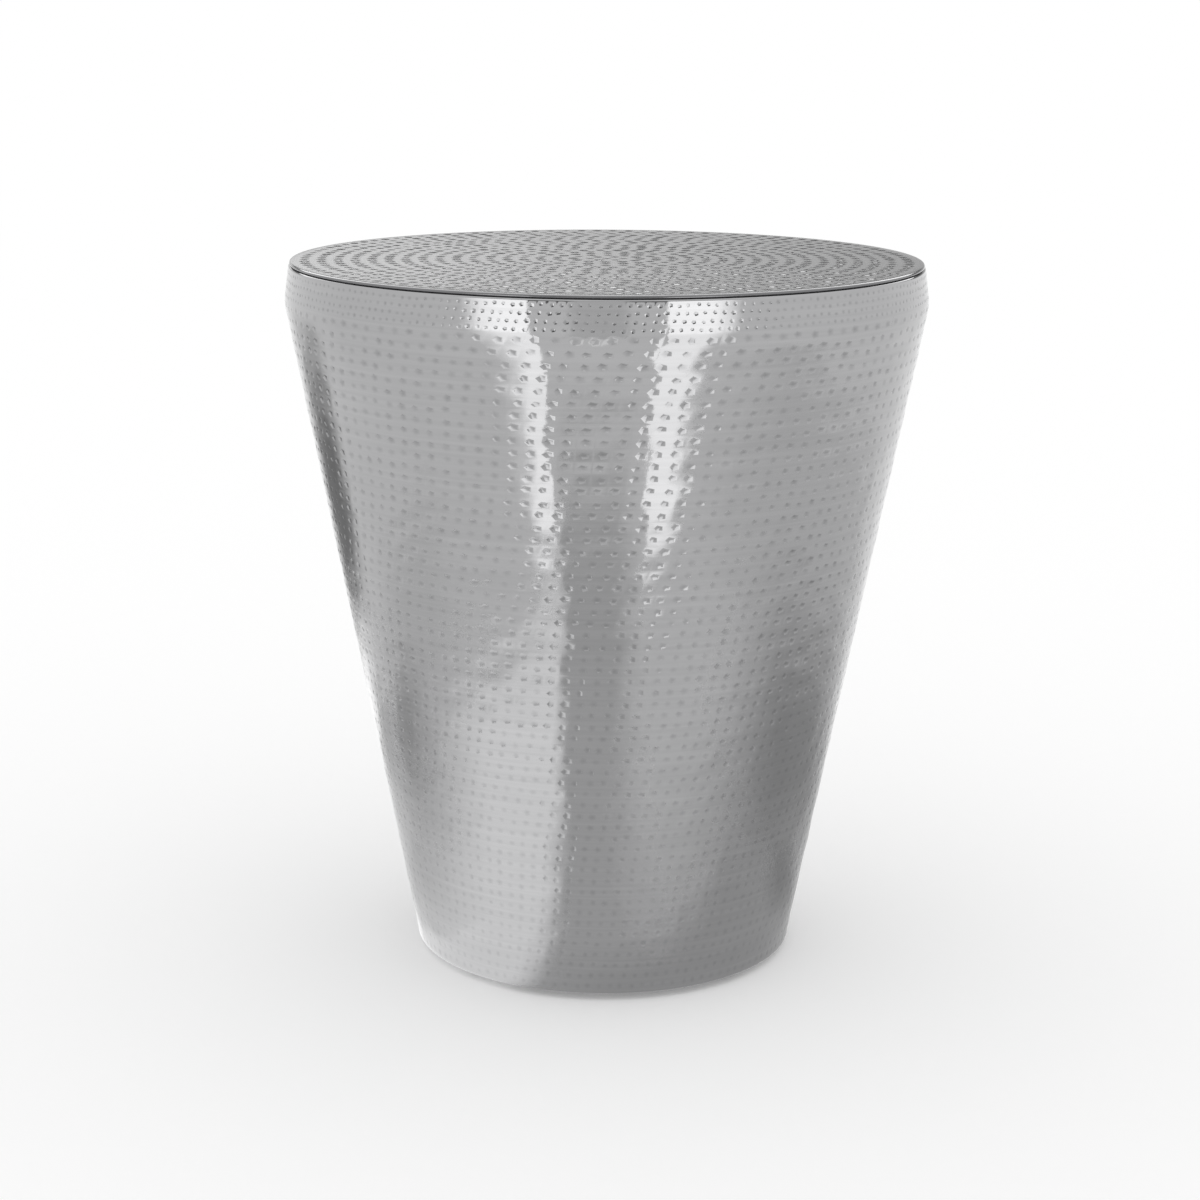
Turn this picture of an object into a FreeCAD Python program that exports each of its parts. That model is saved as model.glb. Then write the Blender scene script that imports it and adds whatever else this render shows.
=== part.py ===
import FreeCAD, Part
import Sketcher
import math
import os

# A drum side table in hammered sheet metal: a tapered drum under a flat round top.
# Lengths are in millimetres, Z points up and the floor is at zero.

LENGTHS = {
    # whole table
    "overall_height": 508.0,
    "sheet_wall": 1.2,
    # drum shell: collar, shoulder, straight taper and the two edges turned in
    "shoulder_radius": 229.2,
    "shoulder_drop": 28.9,
    "shoulder_bend": 45.0,
    "collar_lean": 3.6,
    "mouth_flange": 21.6,
    "mouth_bend": 1.5,
    "foot_radius": 138.9,
    "foot_flange": 26.9,
    "hem_bend": 2.5,
    # top: skin, felt ring and plywood core
    "rim_inset": 0.6,
    "rim_gap": 0.85,
    "rim_bend": 1.5,
    "gasket_thickness": 1.4,
    "gasket_margin": 1.0,
    "core_thickness": 15.0,
    "core_fit": 0.5,
    "core_edge": 1.0,
    # clips that hold the top down on the mouth flange
    "clip_width": 30.0,
    "clip_gauge": 2.0,
    "clip_bend": 1.5,
    "clip_corner": 4.0,
    "clip_fit": 0.4,
    "clip_foot": 26.0,
    "clip_tongue": 12.0,
    "clip_screw_inset": 12.0,
    "clip_screw_spacing": 16.0,
    # base board on the foot flange, and the circle of screws under it
    "board_thickness": 15.0,
    "board_hole_radius": 80.0,
    "board_edge": 3.5,
    "board_fit": 0.8,
    "fixing_inset": 18.9,
    # glides under the foot flange
    "glide_radius": 8.0,
    "glide_height": 5.0,
    "glide_edge": 0.8,
    "glide_recess_radius": 4.6,
    "glide_recess_depth": 2.6,
    # pan-head wood screws
    "screw_radius": 2.0,
    "screw_head_radius": 3.8,
    "screw_head_height": 2.0,
    "screw_head_round": 1.3,
    "screw_point": 3.0,
    "screw_recess_width": 0.9,
    "screw_recess_span": 4.4,
    "screw_recess_depth": 1.2,
    "clip_screw_length": 12.0,
    "base_screw_length": 12.0,
    "glide_screw_length": 14.0,
    "hole_clearance": 0.3,
    "pilot_clearance": 0.05,
    "pilot_spare": 1.0,
}

# Clips and glides stand on the diagonals, the base screws between them.
FIXINGS = 4
FULL_TURN = 360.0
STEP = FULL_TURN / FIXINGS
DIAGONAL = STEP / 2

# An edge is found by its place when it lies this share of its distance from it.
MATCH_SHARE = 0.0001

doc = FreeCAD.newDocument("drum_side_table")
sheet = doc.addObject("Spreadsheet::Sheet", "sizes")
for row, (alias, length) in enumerate(LENGTHS.items(), start=1):
    sheet.set(f"A{row}", alias)
    sheet.set(f"B{row}", str(length))
    sheet.setAlias(f"B{row}", alias)
doc.recompute()

# Levels and radii that two or more pieces share, as formulas of the sizes
HEM = "glide_height"
BOARD_UNDER = f"{HEM} + sheet_wall"
SKIN_UNDER = "overall_height - sheet_wall"
SEAT = f"{SKIN_UNDER} - gasket_thickness"
FLANGE_UNDER = f"{SEAT} - sheet_wall"
CORE_UNDER = f"{SKIN_UNDER} - core_thickness"
CLIP_UNDER = f"{CORE_UNDER} - clip_gauge"
COLLAR_RADIUS = "shoulder_radius - collar_lean"
MOUTH_RADIUS = f"{COLLAR_RADIUS} - mouth_flange"
RIM_RADIUS = f"{COLLAR_RADIUS} - rim_inset"
RIM_INSIDE = f"{RIM_RADIUS} - sheet_wall"
CORE_RADIUS = f"{MOUTH_RADIUS} - core_fit"
CLIP_WEB = f"{CORE_RADIUS} + clip_fit"
CLIP_SCREW_RADIUS = f"{CORE_RADIUS} - clip_screw_inset"
CLIP_SCREW_SIDE = "clip_screw_spacing / 2"
FOOT_INSIDE = "foot_radius - sheet_wall"
FIXING_RADIUS = "foot_radius - fixing_inset"
HOLE_RADIUS = "screw_radius + hole_clearance"
PILOT_RADIUS = "screw_radius + pilot_clearance"


def bound(formula):
    """The formula with each size written as the sheet cell that holds it."""
    return " ".join(f"sizes.{word}" if word in LENGTHS else word for word in formula.split())


def minus(formula):
    """The formula with its sign turned; its sizes are added, taken away or shared out."""
    return f"-1 * ( {formula} )"


def amount(formula):
    """The present value of a formula."""
    return float(sheet.evalExpression(bound(formula)))


def new_body(label, turn=0.0):
    """An empty body of that name, turned about the table's axis."""
    body = doc.addObject("PartDesign::Body", label)
    body.Label = label
    body.AllowCompound = True
    upright = FreeCAD.Vector(0, 0, 1)
    body.Placement = FreeCAD.Placement(FreeCAD.Vector(), FreeCAD.Rotation(upright, turn))
    return body


def origin_part(body, role):
    """One of the planes or axes of a body."""
    return next(item for item in body.Origin.OriginFeatures if item.Role == role)


def new_sketch(body, name, plane, offset):
    """A sketch on one of the body's planes, its origin moved by three formulas."""
    sketch = body.newObject("Sketcher::SketchObject", f"{body.Label}_{name}")
    sketch.AttachmentSupport = (origin_part(body, plane), [""])
    sketch.MapMode = "FlatFace"
    for axis, formula in zip("xyz", offset):
        sketch.setExpression(f"AttachmentOffset.Base.{axis}", bound(formula))
    return sketch


def tie(sketch, name, constraint, formula):
    """Add a constraint to a sketch and bind its value to a formula."""
    number = sketch.addConstraint(constraint)
    sketch.renameConstraint(number, name)
    sketch.setExpression(f"Constraints.{name}", bound(formula))


def pin(sketch, geometry, point, across=None, up=None):
    """Hold a point of the sketch at formulas; zero puts it on the sketch's own axis."""
    for kind, formula, axis in (("DistanceX", across, -2), ("DistanceY", up, -1)):
        if formula is None:
            continue
        if formula == "0":
            sketch.addConstraint(Sketcher.Constraint("PointOnObject", geometry, point, axis))
        else:
            held = Sketcher.Constraint(kind, -1, 1, geometry, point, amount(formula))
            tie(sketch, f"{kind}_{geometry}", held, formula)


def closed_lines(sketch, points):
    """Straight lines that join the named points, pairs of formulas, into a loop."""
    corners = [FreeCAD.Vector(amount(across), amount(up), 0) for across, up in points.values()]
    ends = corners[1:] + corners[:1]
    for start, end in zip(corners, ends):
        sketch.addGeometry(Part.LineSegment(start, end), False)
    for number in range(len(corners)):
        following = (number + 1) % len(corners)
        sketch.addConstraint(Sketcher.Constraint("Coincident", number, 2, following, 1))


def numbers(points):
    """The number of each named corner, and of the line that starts from it."""
    return {name: number for number, name in enumerate(points)}


def outline(body, name, plane, points, offset=("0", "0", "0")):
    """A closed outline of straight lines with every corner held at its formulas."""
    sketch = new_sketch(body, name, plane, offset)
    closed_lines(sketch, points)
    for number, (across, up) in enumerate(points.values()):
        pin(sketch, number, 1, across, up)
    return sketch


def circles(body, name, centres, radius, level):
    """Equal circles on a level plane; their centres are pairs of formulas."""
    sketch = new_sketch(body, name, "XY_Plane", ("0", "0", level))
    upright = FreeCAD.Vector(0, 0, 1)
    for number, (across, along) in enumerate(centres):
        centre = FreeCAD.Vector(amount(across), amount(along), 0)
        sketch.addGeometry(Part.Circle(centre, upright, amount(radius)), False)
        pin(sketch, number, 3, across, along)
        held = Sketcher.Constraint("Radius", number, amount(radius))
        tie(sketch, f"Radius_{number}", held, radius)
    return sketch


def revolve(body, sketch):
    """The outline turned once round the sketch's upright axis."""
    turned = body.newObject("PartDesign::Revolution", f"{body.Label}_turned")
    turned.Profile = sketch
    turned.ReferenceAxis = (sketch, ["V_Axis"])
    turned.Angle = FULL_TURN
    doc.recompute()
    return turned


def round_edges(body, feature, wanted, radius):
    """A fillet on those edges of a feature that the test picks."""
    edges = enumerate(feature.Shape.Edges, start=1)
    names = [f"Edge{number}" for number, edge in edges if wanted(edge)]
    fillet = body.newObject("PartDesign::Fillet", f"{body.Label}_round")
    fillet.Base = (feature, names)
    fillet.setExpression("Radius", bound(radius))
    doc.recompute()
    return fillet


def round_corner(body, feature, sketch, points, name, radius):
    """A fillet on the round edge that a named corner of a turned outline makes."""
    corner = sketch.Geometry[numbers(points)[name]].StartPoint
    height = corner.y + sketch.AttachmentOffset.Base.y
    near = MATCH_SHARE * corner.x

    def wanted(edge):
        if edge.Curve.TypeId != "Part::GeomCircle":
            return False
        return abs(edge.Curve.Radius - corner.x) < near and abs(edge.Curve.Center.z - height) < near

    return round_edges(body, feature, wanted, radius)


def drill(body, name, sketch, depth=None):
    """Holes upwards from a sketch, to a depth or, without one, right through."""
    before = body.Shape.Volume
    holes = body.newObject("PartDesign::Pocket", f"{body.Label}_{name}")
    holes.Profile = sketch
    holes.Reversed = True
    holes.Type = "ThroughAll"
    if depth is not None:
        holes.Type = "Length"
        holes.setExpression("Length", bound(depth))
    doc.recompute()
    if not holes.Shape.Volume < before:
        raise RuntimeError(f"{body.Label}: {name} cut nothing")
    return holes


def repeat_round(body, name, count, features=None):
    """Features, or without any the whole shape, repeated round the table's axis."""
    pattern = body.newObject("PartDesign::PolarPattern", f"{body.Label}_{name}")
    if features is None:
        pattern.TransformMode = "Whole shape"
    else:
        pattern.Originals = features
    pattern.Axis = (origin_part(body, "Z_Axis"), [""])
    pattern.Angle = FULL_TURN
    pattern.Occurrences = count
    body.Tip = pattern
    doc.recompute()


# Drum shell: one sheet, a collar above a straight taper, turned in at the mouth and at the foot
shell = new_body("drum_shell")
shell_section = new_sketch(shell, "section", "XZ_Plane", ("0", "0", "0"))
SHOULDER = "overall_height - shoulder_drop"
FOOT_OPENING = "foot_radius - foot_flange"
shell_points = {
    "mouth_edge": (MOUTH_RADIUS, SEAT),
    "collar": (COLLAR_RADIUS, SEAT),
    "shoulder": ("shoulder_radius", SHOULDER),
    "foot": ("foot_radius", HEM),
    "foot_edge": (FOOT_OPENING, HEM),
    "foot_edge_inside": (FOOT_OPENING, BOARD_UNDER),
    "foot_inside": (FOOT_INSIDE, BOARD_UNDER),
    "shoulder_inside": ("shoulder_radius - sheet_wall", SHOULDER),
    "collar_inside": (f"{COLLAR_RADIUS} - sheet_wall", FLANGE_UNDER),
    "mouth_edge_inside": (MOUTH_RADIUS, FLANGE_UNDER),
}
closed_lines(shell_section, shell_points)
shell_numbers = numbers(shell_points)
slanted = ("foot_inside", "shoulder_inside", "collar_inside")
for name, (across, up) in shell_points.items():
    if name not in slanted:
        pin(shell_section, shell_numbers[name], 1, across, up)
# The inner corners follow from level flanges and walls one sheet thickness inside the outer lines.
pin(shell_section, shell_numbers["foot_inside"], 1, up=BOARD_UNDER)
pin(shell_section, shell_numbers["collar_inside"], 1, up=FLANGE_UNDER)
for inner_name, outer_name in (("foot_inside", "shoulder"), ("shoulder_inside", "collar")):
    inner_line = shell_numbers[inner_name]
    outer_line = shell_numbers[outer_name]
    shell_section.addConstraint(Sketcher.Constraint("Parallel", inner_line, outer_line))
    on_inner = shell_numbers["shoulder_inside"]
    wall = Sketcher.Constraint("Distance", on_inner, 1, outer_line, amount("sheet_wall"))
    tie(shell_section, f"wall_{inner_line}", wall, "sheet_wall")
shell_step = revolve(shell, shell_section)
shell_bends = {
    "collar": "mouth_bend",
    "shoulder": "shoulder_bend",
    "foot": "hem_bend",
    "foot_inside": "hem_bend - sheet_wall",
    "shoulder_inside": "shoulder_bend - sheet_wall",
    "collar_inside": "mouth_bend - sheet_wall",
}
for name, radius in shell_bends.items():
    shell_step = round_corner(shell, shell_step, shell_section, shell_points, name, radius)
flange_circle = circles(shell, "fixing", [(FIXING_RADIUS, "0")], HOLE_RADIUS, "0")
flange_hole = drill(shell, "fixing_hole", flange_circle)
repeat_round(shell, "fixing_holes", 2 * FIXINGS, [flange_hole])

# Top skin: a disc of the same sheet with its edge turned down
skin = new_body("top_skin")
RIM_FOOT = f"{SEAT} + rim_gap"
skin_points = {
    "middle": ("0", "overall_height"),
    "rim": (RIM_RADIUS, "overall_height"),
    "rim_foot": (RIM_RADIUS, RIM_FOOT),
    "rim_foot_inside": (RIM_INSIDE, RIM_FOOT),
    "rim_inside": (RIM_INSIDE, SKIN_UNDER),
    "middle_under": ("0", SKIN_UNDER),
}
skin_section = outline(skin, "section", "XZ_Plane", skin_points)
skin_step = revolve(skin, skin_section)
skin_step = round_corner(skin, skin_step, skin_section, skin_points, "rim", "rim_bend")
round_corner(skin, skin_step, skin_section, skin_points, "rim_inside", "rim_bend - sheet_wall")

# Felt ring: lies on the mouth flange and carries the edge of the skin
gasket = new_body("rim_gasket")
GASKET_INNER = f"{MOUTH_RADIUS} + gasket_margin"
GASKET_OUTER = f"{RIM_INSIDE} - gasket_margin"
gasket_points = {
    "inner_under": (GASKET_INNER, SEAT),
    "outer_under": (GASKET_OUTER, SEAT),
    "outer": (GASKET_OUTER, SKIN_UNDER),
    "inner": (GASKET_INNER, SKIN_UNDER),
}
revolve(gasket, outline(gasket, "section", "XZ_Plane", gasket_points))

# Top core: a plywood disc glued under the skin that plugs the mouth of the shell
core = new_body("top_core", DIAGONAL)
core_points = {
    "middle_under": ("0", CORE_UNDER),
    "bevel_under": (f"{CORE_RADIUS} - core_edge", CORE_UNDER),
    "bevel": (CORE_RADIUS, f"{CORE_UNDER} + core_edge"),
    "edge": (CORE_RADIUS, SKIN_UNDER),
    "middle": ("0", SKIN_UNDER),
}
revolve(core, outline(core, "section", "XZ_Plane", core_points))
clip_screw_places = [(CLIP_SCREW_RADIUS, CLIP_SCREW_SIDE), (CLIP_SCREW_RADIUS, minus(CLIP_SCREW_SIDE))]
core_circles = circles(core, "pilots", clip_screw_places, PILOT_RADIUS, CORE_UNDER)
core_pilots = drill(core, "pilot_pair", core_circles, "clip_screw_length - clip_gauge + pilot_spare")
repeat_round(core, "pilot_holes", FIXINGS, [core_pilots])

# Top clips: bent steel strips, screwed under the core, that hook below the mouth flange
FOOT_END = f"{CLIP_WEB} - clip_foot"
TONGUE_END = f"{CLIP_WEB} + clip_tongue"
WEB_OUTSIDE = f"{CLIP_WEB} + clip_gauge"
TONGUE_UNDER = f"{FLANGE_UNDER} - clip_gauge"
clip_points = {
    "foot_end": (FOOT_END, CORE_UNDER),
    "foot_bend": (CLIP_WEB, CORE_UNDER),
    "tongue_bend": (CLIP_WEB, FLANGE_UNDER),
    "tongue_end": (TONGUE_END, FLANGE_UNDER),
    "tongue_end_under": (TONGUE_END, TONGUE_UNDER),
    "tongue_bend_under": (WEB_OUTSIDE, TONGUE_UNDER),
    "foot_bend_under": (WEB_OUTSIDE, CLIP_UNDER),
    "foot_end_under": (FOOT_END, CLIP_UNDER),
}
clip_bends = {
    "foot_bend": "clip_bend",
    "foot_bend_under": "clip_bend + clip_gauge",
    "tongue_bend": "clip_bend + clip_gauge",
    "tongue_bend_under": "clip_bend",
}


def straight_at(across, up=None):
    """A test that picks the edges across a strip at a place, or those up its end."""

    def wanted(edge):
        if edge.Curve.TypeId != "Part::GeomLine":
            return False
        direction = edge.Curve.Direction
        middle = edge.CenterOfMass
        beside = math.isclose(middle.x, across, rel_tol=MATCH_SHARE)
        if up is None:
            return beside and math.isclose(abs(direction.z), 1, rel_tol=MATCH_SHARE)
        level = math.isclose(middle.z, up, rel_tol=MATCH_SHARE)
        return beside and level and math.isclose(abs(direction.y), 1, rel_tol=MATCH_SHARE)

    return wanted


for number in range(FIXINGS):
    clip = new_body(f"top_clip_{number + 1}", DIAGONAL + number * STEP)
    clip_section = outline(clip, "section", "XZ_Plane", clip_points)
    clip_step = clip.newObject("PartDesign::Pad", f"{clip.Label}_strip")
    clip_step.Profile = clip_section
    clip_step.Midplane = True
    clip_step.setExpression("Length", bound("clip_width"))
    doc.recompute()
    for name, radius in clip_bends.items():
        across, up = clip_points[name]
        clip_step = round_edges(clip, clip_step, straight_at(amount(across), amount(up)), radius)
    for across in (FOOT_END, TONGUE_END):
        clip_step = round_edges(clip, clip_step, straight_at(amount(across)), "clip_corner")
    drill(clip, "screw_holes", circles(clip, "holes", clip_screw_places, HOLE_RADIUS, "0"))

# Base board: a plywood ring on the foot flange with a hole for a hand
board = new_body("base_board")
BOARD_RADIUS = f"{FOOT_INSIDE} - board_fit"
BOARD_TOP = f"{BOARD_UNDER} + board_thickness"
board_points = {
    "hole_under": ("board_hole_radius", BOARD_UNDER),
    "bevel_under": (f"{BOARD_RADIUS} - board_edge", BOARD_UNDER),
    "bevel": (BOARD_RADIUS, f"{BOARD_UNDER} + board_edge"),
    "edge": (BOARD_RADIUS, BOARD_TOP),
    "hole": ("board_hole_radius", BOARD_TOP),
}
revolve(board, outline(board, "section", "XZ_Plane", board_points))
base_circle = circles(board, "base_pilot", [(FIXING_RADIUS, "0")], PILOT_RADIUS, BOARD_UNDER)
base_depth = "base_screw_length - sheet_wall + pilot_spare"
base_pilot = drill(board, "base_pilot_hole", base_circle, base_depth)
repeat_round(board, "base_pilot_holes", FIXINGS, [base_pilot])
diagonal_share = math.sqrt(0.5)
GLIDE_SIDE = f"{diagonal_share} * ( {FIXING_RADIUS} )"
glide_circle = circles(board, "glide_pilot", [(GLIDE_SIDE, GLIDE_SIDE)], PILOT_RADIUS, BOARD_UNDER)
glide_depth = "glide_screw_length - glide_height + glide_recess_depth - sheet_wall + pilot_spare"
glide_pilot = drill(board, "glide_pilot_hole", glide_circle, glide_depth)
repeat_round(board, "glide_pilot_holes", FIXINGS, [glide_pilot])

# Glides: turned nylon feet with a recess for the screw head
glide_points = {
    "recess_mouth": ("glide_recess_radius", "0"),
    "sole": ("glide_radius", "0"),
    "edge": ("glide_radius", HEM),
    "hole": (HOLE_RADIUS, HEM),
    "hole_mouth": (HOLE_RADIUS, "glide_recess_depth"),
    "recess": ("glide_recess_radius", "glide_recess_depth"),
}
for number in range(FIXINGS):
    glide = new_body(f"glide_{number + 1}", DIAGONAL + number * STEP)
    glide_section = outline(glide, "section", "XZ_Plane", glide_points, (FIXING_RADIUS, "0", "0"))
    round_corner(glide, revolve(glide, glide_section), glide_section, glide_points, "sole", "glide_edge")

# Screws: pan heads with a cross recess, all with their points up; a set shares one node
RECESS_END = "screw_recess_span / 2"
RECESS_SIDE = "screw_recess_width / 2"
recess_points = {
    "east_left": (RECESS_END, RECESS_SIDE),
    "north_east": (RECESS_SIDE, RECESS_SIDE),
    "north_right": (RECESS_SIDE, RECESS_END),
    "north_left": (minus(RECESS_SIDE), RECESS_END),
    "north_west": (minus(RECESS_SIDE), RECESS_SIDE),
    "west_right": (minus(RECESS_END), RECESS_SIDE),
    "west_left": (minus(RECESS_END), minus(RECESS_SIDE)),
    "south_west": (minus(RECESS_SIDE), minus(RECESS_SIDE)),
    "south_right": (minus(RECESS_SIDE), minus(RECESS_END)),
    "south_left": (RECESS_SIDE, minus(RECESS_END)),
    "south_east": (RECESS_SIDE, minus(RECESS_SIDE)),
    "east_right": (RECESS_END, minus(RECESS_SIDE)),
}


def first_screw(label, turn, across, along, level, length):
    """A body with one screw, whose head bears on the piece above it at that level."""
    body = new_body(label, turn)
    screw_points = {
        "face_middle": ("0", minus("screw_head_height")),
        "face": ("screw_head_radius", minus("screw_head_height")),
        "bearing": ("screw_head_radius", "0"),
        "shank": ("screw_radius", "0"),
        "shank_end": ("screw_radius", f"{length} - screw_point"),
        "point": ("0", length),
    }
    section = outline(body, "section", "XZ_Plane", screw_points, (across, level, minus(along)))
    round_corner(body, revolve(body, section), section, screw_points, "face", "screw_head_round")
    head_face = (across, along, f"{level} - screw_head_height")
    drill(body, "recess", outline(body, "cross", "XY_Plane", recess_points, head_face), "screw_recess_depth")
    return body


clip_screws = first_screw(
    "clip_screws", DIAGONAL, CLIP_SCREW_RADIUS, CLIP_SCREW_SIDE, CLIP_UNDER, "clip_screw_length"
)
clip_pair = clip_screws.newObject("PartDesign::Mirrored", "clip_screws_pair")
clip_pair.TransformMode = "Whole shape"
clip_pair.MirrorPlane = (origin_part(clip_screws, "XZ_Plane"), [""])
clip_screws.Tip = clip_pair
doc.recompute()
base_screws = first_screw("base_screws", 0.0, FIXING_RADIUS, "0", HEM, "base_screw_length")
glide_screws = first_screw(
    "glide_screws", DIAGONAL, FIXING_RADIUS, "0", "glide_recess_depth", "glide_screw_length"
)
for screws in (clip_screws, base_screws, glide_screws):
    repeat_round(screws, "set", FIXINGS)

# Test every object, then write one file for each piece
doc.recompute()
pieces = [item for item in doc.Objects if item.TypeId == "PartDesign::Body"]
for item in doc.Objects:
    if "Invalid" in item.State or "Error" in item.State:
        raise RuntimeError(f"{item.Label}: {item.State}")
for piece in pieces:
    if piece.Shape.isNull() or not piece.Shape.isValid():
        raise RuntimeError(f"{piece.Label}: no valid shape")
os.makedirs("parts", exist_ok=True)
for piece in pieces:
    piece.Shape.exportStep(f"parts/{piece.Label}.step")
    print(piece.Label, len(piece.Shape.Solids), "solids,", round(piece.Shape.Volume), "cubic mm")
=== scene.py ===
import math

import bmesh
import bpy
from mathutils import Matrix, Vector


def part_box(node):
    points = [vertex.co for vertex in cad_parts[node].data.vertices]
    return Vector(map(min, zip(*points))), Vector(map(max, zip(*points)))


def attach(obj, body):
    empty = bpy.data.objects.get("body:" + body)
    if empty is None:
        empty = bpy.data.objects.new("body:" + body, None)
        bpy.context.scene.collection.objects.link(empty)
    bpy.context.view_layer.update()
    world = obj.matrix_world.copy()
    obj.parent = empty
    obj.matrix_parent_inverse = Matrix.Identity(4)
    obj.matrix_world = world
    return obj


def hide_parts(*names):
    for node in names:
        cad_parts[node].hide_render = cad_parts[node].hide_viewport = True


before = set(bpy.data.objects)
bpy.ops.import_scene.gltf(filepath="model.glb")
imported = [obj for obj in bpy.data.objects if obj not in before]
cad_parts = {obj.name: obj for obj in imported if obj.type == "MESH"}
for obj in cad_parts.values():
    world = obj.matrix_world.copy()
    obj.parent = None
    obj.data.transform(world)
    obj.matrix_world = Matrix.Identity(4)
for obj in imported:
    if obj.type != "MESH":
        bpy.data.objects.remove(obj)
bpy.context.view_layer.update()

# Drum shell: one sheet of aluminium, spun to a tapered drum and hammered by hand from outside, row by row.
# Its edges are turned in, at the mouth to carry the top and at the foot to hold the base board.
sheet_wall = 0.0012
shell_low, shell_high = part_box("drum_shell")
foot_height = shell_low.z
seat_height = shell_high.z
mouth_radius = 0.204
collar_radius = 0.2256
shoulder_radius = 0.2292
shoulder_height = 0.4791
foot_radius = 0.1389
foot_opening = 0.112
mouth_bend = 0.0015
shoulder_bend = 0.045
hem_bend = 0.0025
bend_steps = 5
wall_dents_around = 114
wall_dent_rows = 57
wall_dent_share = 0.76
wall_dent_depth = 0.0006
collar_dents_around = 2 * wall_dents_around
collar_dent_rows = 4
collar_dent_share = 0.72
collar_dent_depth = 0.0004
drum_dent_sides = 5
half_way_reach = 0.55
either_way = (-1.0, 1.0)
drum_size_range = (0.8, 1.12)
drum_force_range = (0.6, 1.2)
corner_sink_range = (0.1, 1.0)
row_sink_range = (0.0, 0.3)
row_sways = 3
metal_dull = (0.38, 0.38, 0.385)
metal_bright = (0.44, 0.44, 0.445)
# The grey that the dents are darkened towards, and how far: partly patina, partly painted shade.
dent_patina_and_shade = (0.2, 0.2, 0.205)
dent_patina_and_shade_share = 0.5
streaks_round = 7.0
streaks_across = 420.0
drum_satin = 0.03
weld_reach = 0.00002
sharp_edge = math.radians(40)


def bent_sheet(corners, bends):
    """The outer side of a bent sheet, straight runs and round bends: points with their outward normals."""
    side = []
    for before, corner, after, bend in zip(corners, corners[1:], corners[2:], bends):
        back = (before - corner).normalized()
        ahead = (after - corner).normalized()
        half_angle = back.angle(ahead) / 2
        centre = corner + (back + ahead).normalized() * (bend / math.sin(half_angle))
        start = (corner + back * (bend / math.tan(half_angle)) - centre).normalized()
        turn = 2 * half_angle - math.pi
        for step in range(bend_steps + 1):
            normal = Matrix.Rotation(turn * step / bend_steps, 2) @ start
            side.append((centre + normal * bend, normal))
    return [(corners[0], side[0][1]), *side, (corners[-1], side[-1][1])]


def turned(meshes, outline, around, closed_in=False):
    """Welds hammered meshes to each other and to the surface that an outline sweeps in one turn.
    The outline is given as radius and height. The sheet stays flat up to each dent, so the points
    on a dent's rim lean as the flat faces beside them do."""
    solid = bmesh.new()
    for hammered in meshes:
        solid.from_mesh(hammered)
    rings = []
    for point in outline:
        ring = []
        for step in range(around):
            angle = math.tau * step / around
            ring.append(solid.verts.new((point.x * math.sin(angle), -point.x * math.cos(angle), point.y)))
        rings.append(ring)
    for ring, following in zip(rings, rings[1:]):
        for step in range(around):
            beside = (step + 1) % around
            solid.faces.new((ring[step], ring[beside], following[beside], following[step]))
    if closed_in:
        solid.faces.new(rings[-1])
    bmesh.ops.remove_doubles(solid, verts=solid.verts, dist=weld_reach)
    bmesh.ops.recalc_face_normals(solid, faces=solid.faces)
    for face in solid.faces:
        face.smooth = True
    struck = solid.faces.layers.float["struck"]
    leans = []
    for vertex in solid.verts:
        flat = [face for face in vertex.link_faces if not face[struck]]
        lean = Vector()
        if len(flat) < len(vertex.link_faces):
            for face in flat:
                lean += face.normal * face.calc_area()
        leans.append(lean.normalized())
    whole = meshes[0]
    solid.to_mesh(whole)
    solid.free()
    whole.set_sharp_from_angle(angle=sharp_edge)
    whole.normals_split_custom_set([leans[loop.vertex_index] for loop in whole.loops])
    whole.attributes.remove(whole.attributes["struck"])
    return whole


def halve_open_edges(mesh, around):
    """Halves the edges round the open sides of a hammered mesh, for finer rows to join.
    The new points go on the round."""
    sheet = bmesh.new()
    sheet.from_mesh(mesh)
    open_edges = [edge for edge in sheet.edges if edge.is_boundary]
    halves = bmesh.ops.subdivide_edges(sheet, edges=open_edges, cuts=1)
    for part in halves["geom_inner"]:
        if isinstance(part, bmesh.types.BMVert):
            part.co.xy = part.co.xy / math.cos(math.pi / around)
    sheet.to_mesh(mesh)
    sheet.free()


def node(tree, kind, inputs, **settings):
    """Adds a node with its settings; each input is a value, or a socket to be linked to it."""
    made = tree.nodes.new(kind)
    for name, setting in settings.items():
        setattr(made, name, setting)
    for key, given in inputs.items():
        if isinstance(given, bpy.types.NodeSocket):
            tree.links.new(given, made.inputs[key])
        else:
            made.inputs[key].default_value = given
    return made


def maths(tree, operation, *values):
    return node(tree, "ShaderNodeMath", dict(enumerate(values)), operation=operation).outputs[0]


def between(tree, low, high, share):
    """The value that lies at a share of the way from low to high."""
    return maths(tree, "ADD", low, maths(tree, "MULTIPLY", maths(tree, "SUBTRACT", high, low), share))


def drawn(tree, span, key, seed, turn):
    """A number drawn at random from a span, the same each time for the same key, seed and turn."""
    inputs = {2: span[0], 3: span[1], "ID": key, "Seed": maths(tree, "ADD", seed, turn)}
    return node(tree, "FunctionNodeRandomValue", inputs, data_type="FLOAT").outputs[1]


def store(tree, geometry, name, field):
    """Keeps a number on each point under a name."""
    inputs = {"Geometry": geometry, "Name": name, "Value": field}
    kept = node(tree, "GeometryNodeStoreNamedAttribute", inputs, data_type="FLOAT", domain="POINT")
    return kept.outputs[0]


def stored(tree, name):
    """The number that was kept on each point under a name."""
    return node(tree, "GeometryNodeInputNamedAttribute", {"Name": name}, data_type="FLOAT").outputs[0]


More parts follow.
